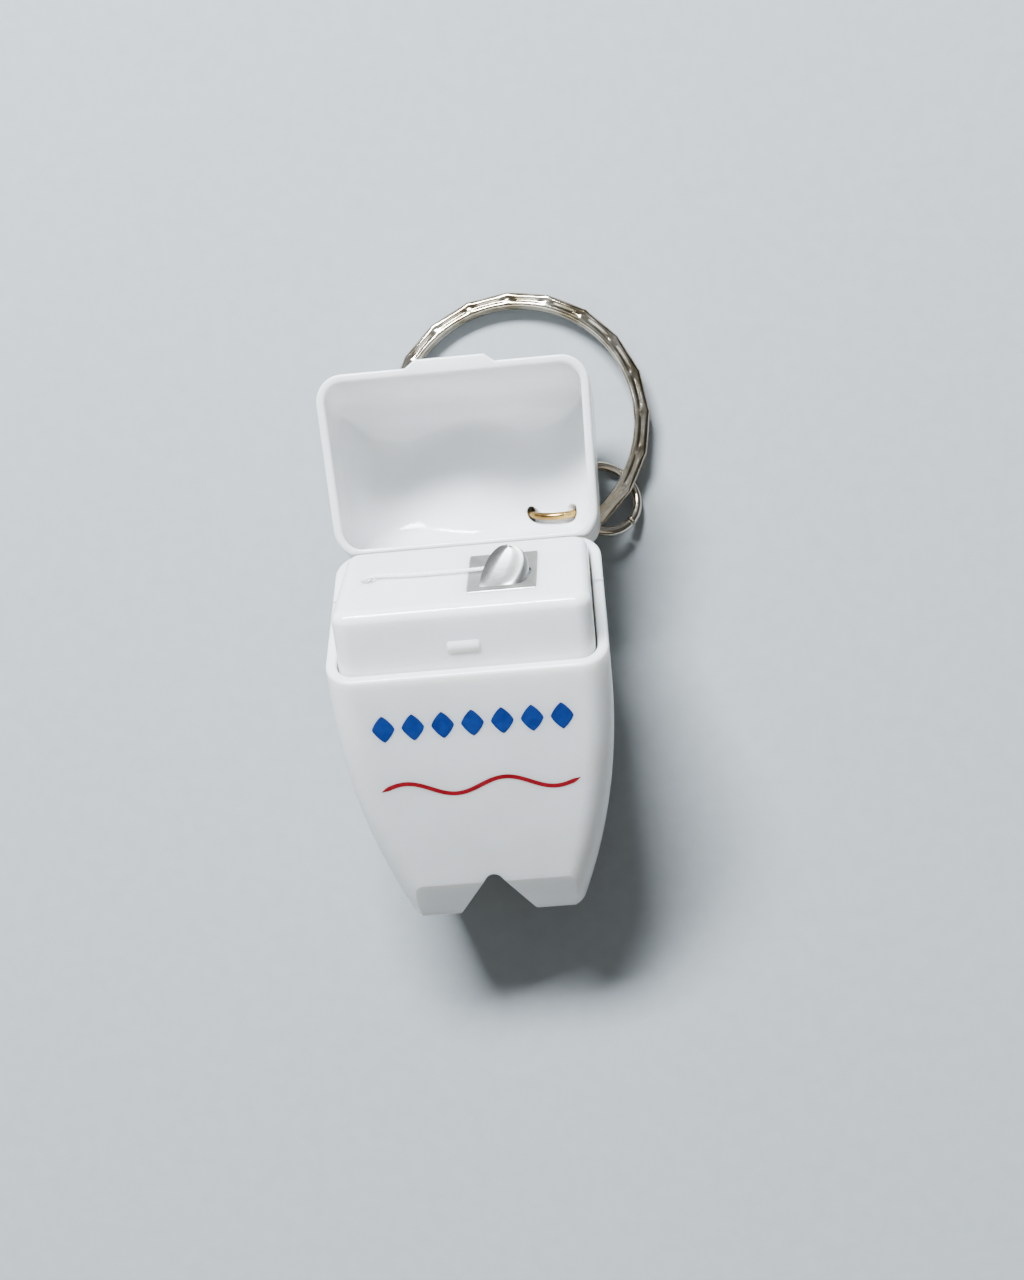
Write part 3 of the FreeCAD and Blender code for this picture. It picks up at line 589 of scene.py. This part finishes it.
def make_split_ring():
    spin = joints["split_ring_turn"]
    centre = Vector(spin["pos_m"])
    turn = Vector((0, 0, 1)).rotation_difference(Vector(spin["axis"])).to_matrix()
    pitch = SPLIT_WIRE_HEIGHT + SPLIT_COIL_GAP
    start = SPLIT_RAMP_CENTRE + SPLIT_RAMP_ANGLE / 2
    flat_turn = 2 * math.pi - SPLIT_RAMP_ANGLE
    whole = 2 * flat_turn + SPLIT_RAMP_ANGLE
    points = []
    for step in range(SPLIT_STEPS + 1):
        angle = whole * step / SPLIT_STEPS
        level = pitch * (smooth_step((angle - flat_turn) / SPLIT_RAMP_ANGLE) - 0.5)
        phase = (FACETS * (start + angle) / (2 * math.pi)) % 1.0
        out = Vector((math.cos(start + angle), math.sin(start + angle), 0))
        end = min(angle, whole - angle)
        size = SPLIT_END_SIZE + (1 - SPLIT_END_SIZE) * smooth_step(end / SPLIT_END_EASE)
        for across, up in split_section(phase):
            local = out * (SPLIT_RADIUS + across * size) + Vector((0, 0, level + up * size))
            points.append(centre + turn @ (local * MM))
    count = len(split_section(0))
    faces = ring_faces(SPLIT_STEPS + 1, count, True)
    made = new_piece("key_ring", points, faces, nickel, "split_ring")
    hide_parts("split_ring")


# Living hinge: a thin web from the body's back to the lid's back
WEB_THICK = 0.24
WEB_SKIN = 0.03
WEB_FLAP = 1.5
WEB_RADIUS = 0.3
WEB_FOLDS = 14
WEB_COLUMNS = 40
WEB_LENGTH = 0.985 * HINGE_LENGTH


def web_sections():
    """Inner and outer points of the web about the hinge line: body flap, fold and lid flap."""
    body_angle = -math.pi / 2
    lid_angle = math.pi / 2 + lid_open
    body_out = Vector((0, 1, 0))
    lid_out = Vector((0, math.sin(lid_angle), -math.cos(lid_angle)))

    def around(angle):
        return Vector((0, math.cos(angle), math.sin(angle)))

    def flap(angle, reach, outside):
        foot = around(angle) * reach
        return foot + outside * WEB_SKIN, foot + outside * WEB_THICK

    sections = [flap(body_angle, reach, body_out) for reach in (WEB_FLAP, WEB_FLAP / 2)]
    for step in range(WEB_FOLDS + 1):
        way = around(body_angle + (lid_angle - body_angle) * step / WEB_FOLDS)
        sections.append((way * (WEB_RADIUS - WEB_THICK / 2), way * (WEB_RADIUS + WEB_THICK / 2)))
    sections += [flap(lid_angle, reach, lid_out) for reach in (WEB_FLAP / 2, WEB_FLAP)]
    return sections, around(body_angle) * WEB_RADIUS, around(lid_angle) * WEB_RADIUS


def make_hinge():
    sections, body_end, lid_end = web_sections()
    points = []
    for section in sections:
        for column in range(WEB_COLUMNS + 1):
            shift = Vector((WEB_LENGTH * (column / WEB_COLUMNS - 0.5), 0, 0))
            points += [hinge_point + body_turn @ ((spot + shift) * MM) for spot in section]
    faces = []
    row = 2 * (WEB_COLUMNS + 1)
    for section in range(len(sections) - 1):
        for column in range(WEB_COLUMNS):
            for layer in (0, 1):
                a = section * row + 2 * column + layer
                faces.append((a, a + 2, a + row + 2, a + row))
        for column in (0, WEB_COLUMNS):
            a = section * row + 2 * column
            faces.append((a, a + 1, a + row + 1, a + row))
    for section in (0, len(sections) - 1):
        for column in range(WEB_COLUMNS):
            a = section * row + 2 * column
            faces.append((a, a + 1, a + 3, a + 2))
    made = new_piece("hinge_web", points, faces, lid_white, None)
    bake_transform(made)
    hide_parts("living_hinge")


# Floss: a twisted thread from the winding out of the insert and under the cutter's tongue
EXIT_X = -0.335 * BODY_WIDTH
EXIT_Y = -0.48 * BODY_DEPTH
FLOSS_END_X = 0.148 * BODY_WIDTH
FLOSS_END_Y = -0.495 * BODY_DEPTH
FLOSS_LEVEL = 1.06
FLOSS_WAVE = 0.35
SPOOL_Z = -20.9
WINDING_RADIUS = 0.303 * BODY_WIDTH - 0.9
PLIES = 3
PLY_RADIUS = 0.125
PLY_PITCH = 1.6
PLY_SIDES = 8


def smooth_route(points):
    """Points along one smooth curve with these control points."""
    curve = bpy.data.curves.new("route", "CURVE")
    curve.dimensions = "3D"
    curve.resolution_u = 24
    spline = curve.splines.new("NURBS")
    spline.points.add(len(points) - 1)
    for control, point in zip(spline.points, points):
        control.co = (*point, 1)
    spline.order_u = 3
    spline.use_endpoint_u = True
    holder = bpy.data.objects.new("route", curve)
    bpy.context.scene.collection.objects.link(holder)
    bpy.context.view_layer.update()
    mesh = bpy.data.meshes.new_from_object(holder)
    path = [v.co.copy() for v in mesh.vertices]
    bpy.data.objects.remove(holder)
    bpy.data.curves.remove(curve)
    bpy.data.meshes.remove(mesh)
    return path


def make_floss():
    start_x = -WINDING_RADIUS - 0.31
    route = [on_body(start_x, EXIT_Y, SPOOL_Z), on_body(start_x - 0.6, EXIT_Y, SPOOL_Z + 8)]
    route += [on_body(EXIT_X, EXIT_Y, INSERT_TOP - 3.6), on_body(EXIT_X, EXIT_Y, INSERT_TOP - 0.6)]
    route += [on_body(EXIT_X, EXIT_Y, FLOSS_LEVEL), on_body(0.85 * EXIT_X, EXIT_Y, FLOSS_LEVEL)]
    route += [on_body(0.6 * EXIT_X, EXIT_Y - FLOSS_WAVE, FLOSS_LEVEL)]
    route += [on_body(0.2 * EXIT_X, FLOSS_END_Y - FLOSS_WAVE / 2, FLOSS_LEVEL)]
    route += [on_body(FLOSS_END_X, FLOSS_END_Y, FLOSS_LEVEL)]
    path = smooth_route(route)
    points = []
    faces = []
    twist = 2 * math.pi / (PLY_PITCH * MM)
    for ply in range(PLIES):
        ring_points, rings = tube(path, PLY_RADIUS * MM, PLY_SIDES, twist, 2 * math.pi * ply / PLIES)
        base = len(points)
        points += ring_points
        faces += [tuple(base + i for i in face) for face in ring_faces(rings, PLY_SIDES, True)]
    made = new_piece("floss_end", points, faces, floss_thread, "body")
    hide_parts("floss_strand")


# Winding on the spool: turns of thread over a plain core
SPOOL_BACK = 0.17 * BODY_DEPTH
SPOOL_LENGTH = 0.65 * BODY_DEPTH
FLANGE_THICK = 0.9
HUB_RADIUS = 4.05
TURNS = 24
TURN_STEPS = 40
THREAD_SIDES = 6
CORE_STEPS = 64
FLANGE_PLAY = 0.15


def make_winding():
    back = -SPOOL_BACK - FLANGE_THICK - FLANGE_PLAY
    front = -SPOOL_BACK - SPOOL_LENGTH + FLANGE_THICK + FLANGE_PLAY
    thread_radius = (back - front) / TURNS / 2
    wound = WINDING_RADIUS - thread_radius
    path = []
    for step in range(TURNS * TURN_STEPS + 1):
        angle = 2 * math.pi * step / TURN_STEPS
        y = back - thread_radius + (front - back + 2 * thread_radius) * step / (TURNS * TURN_STEPS)
        path.append(on_body(wound * math.cos(angle), y, SPOOL_Z + wound * math.sin(angle)))
    points, rings = tube(path, thread_radius * MM, THREAD_SIDES)
    faces = ring_faces(rings, THREAD_SIDES, True)
    base = len(points)
    profile = [(HUB_RADIUS, back), (wound, back), (wound, front), (HUB_RADIUS, front)]
    for radius, y in profile + profile[:1]:
        for step in range(CORE_STEPS):
            angle = 2 * math.pi * step / CORE_STEPS
            points.append(on_body(radius * math.cos(angle), y, SPOOL_Z + radius * math.sin(angle)))
    faces += [tuple(base + i for i in face) for face in ring_faces(len(profile) + 1, CORE_STEPS, False)]
    made = new_piece("floss_turns", points, faces, floss_thread, "spool")
    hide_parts("floss_winding")


# Cutter: a stamped plate in the insert's top with a cupped, leaf-shaped tongue
CUTTER_X = 0.142 * BODY_WIDTH
CUTTER_Y = -0.5175 * BODY_DEPTH
CUTTER_WIDTH = 0.241 * BODY_WIDTH
CUTTER_LENGTH = 0.485 * BODY_DEPTH
CUTTER_LOW = 0.4
CUTTER_THICK = 0.35
PLATE_EASE = 0.06
TONGUE_FROM_FRONT = 1.1
TONGUE_HALF = 0.28 * CUTTER_WIDTH
TONGUE_LENGTH = 0.523 * CUTTER_LENGTH
TONGUE_SLOPES = (math.radians(20), math.radians(40))
LEFT_CURL = 0.75
LEFT_SHARE = 0.24
RIGHT_DISH = 0.4
LIP_DROP = 0.75
LIP_SHARE = 0.13
TONGUE_THICK = 0.22
CUP_FOOT = 0.12
CUP_TIP = 0.93
CUP_POWER = 0.6
DISH_START = 0.45
DISH_RUN = 0.4
LEAF_LEFT = [(-1.15, 0), (-0.95, 0.45), (-0.3, 0.95), (0.42, 1)]
LEAF_RIGHT = [(0.7, 0), (1.5, 0.25), (1.95, 0.95), (0.42, 1)]
LEAF_MIDDLE = Vector((0.1, 0.5))
LEAF_TIP = 0.985
LEAF_ROWS = 28
LEAF_COLUMNS = 36
WINDOW_GROW = 1.08
WINDOW_LOW = 0.04
PLATE_TOP = CUTTER_LOW + CUTTER_THICK
TONGUE_Y = CUTTER_Y - CUTTER_LENGTH / 2 + TONGUE_FROM_FRONT


def bezier(controls, share):
    """Point of the curve with these control points."""
    points = [Vector(control) for control in controls]
    while len(points) > 1:
        points = [a.lerp(b, share) for a, b in zip(points, points[1:])]
    return points[0]


def leaf_window():
    """Edge of the opening in the plate that the tongue was bent out of."""
    shares = [step / LEAF_ROWS for step in range(LEAF_ROWS + 1)]
    edge = [bezier(LEAF_LEFT, share) for share in shares]
    edge += [bezier(LEAF_RIGHT, share) for share in shares[-2::-1]]
    grown = [LEAF_MIDDLE + (spot - LEAF_MIDDLE) * WINDOW_GROW for spot in edge]
    return [(CUTTER_X + p.x * TONGUE_HALF, TONGUE_Y + max(WINDOW_LOW, p.y) * TONGUE_LENGTH) for p in grown]


def plate_cap(points, faces, corners, ring):
    """Flat face between the plate's corners and the window's edge, as triangles to the nearest corner."""
    nearest = [min(corners, key=lambda c: (points[c] - points[index]).length) for index in ring]
    for here in range(len(ring)):
        after = (here + 1) % len(ring)
        faces.append((ring[here], ring[after], nearest[here]))
        if nearest[after] != nearest[here]:
            faces.append((ring[after], nearest[after], nearest[here]))


def add_plate(points, faces):
    """The flat plate with eased edges and its window."""
    half_x = CUTTER_WIDTH / 2
    half_y = CUTTER_LENGTH / 2
    levels = [(CUTTER_LOW, PLATE_EASE), (CUTTER_LOW + PLATE_EASE, 0)]
    levels += [(PLATE_TOP - PLATE_EASE, 0), (PLATE_TOP, PLATE_EASE)]
    for level, inset in levels:
        for x, y in ((1, 1), (-1, 1), (-1, -1), (1, -1)):
            points.append(on_body(CUTTER_X + x * (half_x - inset), CUTTER_Y + y * (half_y - inset), level))
    faces += ring_faces(len(levels), 4, False)
    corners = len(points)
    window = leaf_window()
    for level in (CUTTER_LOW, PLATE_TOP):
        points += [on_body(x, y, level) for x, y in window]
    low_ring = list(range(corners, corners + len(window)))
    high_ring = [index + len(window) for index in low_ring]
    faces += [tuple(corners + i for i in face) for face in ring_faces(2, len(window), False)]
    plate_cap(points, faces, range(corners - 4, corners), high_ring)
    plate_cap(points, faces, range(4), low_ring)


def tongue_cup(across, along):
    """Rise of the leaf over its flat: left edge turned up, right side dished, right lip turned down."""
    fade = CUP_FOOT + (1 - CUP_FOOT) * math.sin(math.pi * min(along, CUP_TIP)) ** CUP_POWER
    left = LEFT_CURL * max(0.0, 1 - across / LEFT_SHARE) ** 2
    right = RIGHT_DISH * smooth_step((across - DISH_START) / DISH_RUN)
    lip = LIP_DROP * max(0.0, (across - 1 + LIP_SHARE) / LIP_SHARE) ** 2
    return (left + right - lip) * fade


def tongue_point(across, along, rise):
    """Point of the tongue: across and along on the flat leaf, raised by its cup."""
    low, high = TONGUE_SLOPES
    slope = low + (high - low) * along / TONGUE_LENGTH / 2
    z = PLATE_TOP + along * math.sin(slope) + rise
    return on_body(CUTTER_X + across, TONGUE_Y + along * math.cos(slope), z)


def add_tongue(points, faces):
    """The bent leaf as a sheet with a top and an underside."""
    base = len(points)
    for drop in (0, TONGUE_THICK):
        for row in range(LEAF_ROWS + 1):
            share = min(row / LEAF_ROWS, LEAF_TIP)
            left = bezier(LEAF_LEFT, share)
            right = bezier(LEAF_RIGHT, share)
            for column in range(LEAF_COLUMNS + 1):
                spot = left.lerp(right, column / LEAF_COLUMNS)
                rise = tongue_cup(column / LEAF_COLUMNS, share) - drop
                points.append(tongue_point(spot.x * TONGUE_HALF, spot.y * TONGUE_LENGTH, rise))
    width = LEAF_COLUMNS + 1
    layer = (LEAF_ROWS + 1) * width
    for row in range(LEAF_ROWS):
        for column in range(LEAF_COLUMNS):
            a = base + row * width + column
            faces.append((a, a + 1, a + width + 1, a + width))
            faces.append((a + layer, a + layer + 1, a + layer + width + 1, a + layer + width))
        for column in (0, LEAF_COLUMNS):
            a = base + row * width + column
            faces.append((a, a + width, a + width + layer, a + layer))
    for row in (0, LEAF_ROWS):
        for column in range(LEAF_COLUMNS):
            a = base + row * width + column
            faces.append((a, a + 1, a + 1 + layer, a + layer))


def make_cutter():
    points = []
    faces = []
    add_plate(points, faces)
    add_tongue(points, faces)
    made = new_piece("cutter_leaf", points, faces, cutter_steel, "body")
    made.data.set_sharp_from_angle(angle=math.radians(35))
    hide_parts("cutter_plate")


# Print on the front: a row of plain lozenges and a wavy stripe
PRINT_LIFT = 0.025
LOZENGES = 7
LOZENGE_STEP = 3.25
LOZENGE_HALF = (1.25, 1.65)
LOZENGE_Z = -12.6
LOZENGE_POWER = 1.25
WAVE_Z = -20.6
WAVE_HALF_LENGTH = 11.0
WAVE_HEIGHT = 0.85
WAVE_HALF_WIDTH = 0.27
WAVE_END = 0.25
WAVE_TAPER = 9
WAVE_STEPS = 120
FRONT_DROP = HINGE_TO_TIP + FRONT_START
FRONT_RADIUS = (FRONT_DROP ** 2 + TIP_SETBACK ** 2) / (2 * TIP_SETBACK)


def front_surface(x, z):
    """Point of the front face, lifted by the thickness of the print."""
    centre = FRONT_RADIUS - BODY_DEPTH
    y = centre - math.sqrt(FRONT_RADIUS ** 2 - (z - FRONT_START) ** 2)
    return on_body(x, y - PRINT_LIFT, z)


def make_lozenges():
    points = []
    faces = []
    rings = 6
    sides = 48
    for mark in range(LOZENGES):
        middle = LOZENGE_STEP * (mark - (LOZENGES - 1) / 2)
        base = len(points)
        points.append(front_surface(middle, LOZENGE_Z))
        for ring in range(1, rings + 1):
            for side in range(sides):
                angle = 2 * math.pi * side / sides
                c, s = math.cos(angle), math.sin(angle)
                spread_out = abs(c) ** LOZENGE_POWER + abs(s) ** LOZENGE_POWER
                reach = spread_out ** (-1 / LOZENGE_POWER) * ring / rings
                x = middle + LOZENGE_HALF[0] * reach * c
                points.append(front_surface(x, LOZENGE_Z + LOZENGE_HALF[1] * reach * s))
        for side in range(sides):
            after = (side + 1) % sides
            faces.append((base, base + 1 + side, base + 1 + after))
            for ring in range(rings - 1):
                a = base + 1 + ring * sides
                faces.append((a + side, a + after, a + sides + after, a + sides + side))
    new_piece("blue_marks", points, faces, blue_ink, "body")


def make_wave():
    points = []
    faces = []
    for step in range(WAVE_STEPS + 1):
        share = 2 * step / WAVE_STEPS - 1
        x = WAVE_HALF_LENGTH * share
        z = WAVE_Z + WAVE_HEIGHT * math.sin(2 * math.pi * share)
        slope = WAVE_HEIGHT * 2 * math.pi / WAVE_HALF_LENGTH * math.cos(2 * math.pi * share)
        half = WAVE_HALF_WIDTH * smooth_step(WAVE_END + WAVE_TAPER * (1 - abs(share)))
        across = Vector((-slope, 1)).normalized() * half
        for side in (-1, 0, 1):
            points.append(front_surface(x + side * across.x, z + side * across.y))
    for step in range(WAVE_STEPS):
        for side in (0, 1):
            a = 3 * step + side
            faces.append((a, a + 1, a + 4, a + 3))
    new_piece("red_wave", points, faces, red_ink, "body")


# Finishes of the pieces that keep their own solids
def dress(node, material):
    shown = frame["nodes"][node]
    shown.data.materials.clear()
    shown.data.materials.append(material)
    shown.data.shade_smooth()
    shown.data.set_sharp_from_angle(angle=math.radians(30))


dress("front_shell", body_white)
dress("rear_shell", body_white)
dress("floss_insert", insert_white)
dress("spool", spool_white)
ring_centre, ring_normal = make_jump_ring()
crown_lid = make_lid()
cut_jump_holes(crown_lid, ring_centre, ring_normal)
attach(crown_lid, "lid")
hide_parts("lid")
make_link_ring()
make_split_ring()
make_hinge()
make_floss()
make_winding()
make_cutter()
make_lozenges()
make_wave()


# Stage: pale floor, soft light and the camera
def make_floor():
    made, nodes, links, shader, where = new_material("floor_matte")
    grain = noise(nodes, links, where, 500, 4)
    tones = [(0.3, (0.27, 0.29, 0.30)), (0.7, (0.29, 0.31, 0.32))]
    links.new(ramp(nodes, links, grain, tones), shader.inputs["Base Color"])
    shader.inputs["Roughness"].default_value = 0.75
    mesh = bpy.data.meshes.new("floor")
    corners = [(x * FLOOR_REACH, y * FLOOR_REACH, 0) for x, y in ((-1, -1), (1, -1), (1, 1), (-1, 1))]
    mesh.from_pydata(corners, [], [(0, 1, 2, 3)])
    mesh.materials.append(made)
    floor = bpy.data.objects.new("floor", mesh)
    bpy.context.scene.collection.objects.link(floor)


def area_light(name, place, target, size, power, colour):
    lamp = bpy.data.lights.new(name, "AREA")
    lamp.shape = "RECTANGLE"
    lamp.size, lamp.size_y = size
    lamp.energy = power
    lamp.color = colour
    made = bpy.data.objects.new(name, lamp)
    made.location = place
    made.rotation_mode = "QUATERNION"
    made.rotation_quaternion = (Vector(target) - Vector(place)).to_track_quat("-Z", "Y")
    bpy.context.scene.collection.objects.link(made)


FLOOR_REACH = 1.5
CAMERA_PLACE = (19.84, -11.62, 277.08)
CAMERA_TURN = (0.95, 4.25, -4.66)
FOCAL_PIXELS = 2300
FRAME_HEIGHT = 1280
SENSOR = 36.0
SKY_WAY = (-0.2, 0.5, 0.78)


def make_camera():
    lens = bpy.data.cameras.new("camera")
    lens.sensor_width = SENSOR
    lens.lens = FOCAL_PIXELS / FRAME_HEIGHT * SENSOR
    lens.clip_start = 0.005
    made = bpy.data.objects.new("camera", lens)
    made.location = Vector(CAMERA_PLACE) * MM
    made.rotation_euler = [math.radians(turn) for turn in CAMERA_TURN]
    bpy.context.scene.collection.objects.link(made)
    bpy.context.scene.camera = made


def make_light():
    world = bpy.data.worlds.new("studio")
    world.use_nodes = True
    nodes = world.node_tree.nodes
    links = world.node_tree.links
    where = nodes.new("ShaderNodeTexCoord")
    way = nodes.new("ShaderNodeVectorMath")
    way.operation = "DOT_PRODUCT"
    way.inputs[1].default_value = SKY_WAY
    links.new(where.outputs["Generated"], way.inputs[0])
    tones = [(0.0, (0.14, 0.138, 0.134)), (0.5, (0.15, 0.148, 0.144)), (0.9, (0.80, 0.89, 1.0))]
    sky = nodes["Background"]
    links.new(ramp(nodes, links, way.outputs["Value"], tones), sky.inputs["Color"])
    sky.inputs["Strength"].default_value = 0.6
    bpy.context.scene.world = world
    area_light("window", (-0.14, 0.42, 0.5), (0, 0, 0.01), (0.3, 0.14), 24.0, (0.88, 0.94, 1.0))
    area_light("fill", (0.15, -0.3, 0.6), (0, 0, 0.01), (0.6, 0.6), 0.6, (1.0, 0.95, 0.86))


make_floor()
make_camera()
make_light()
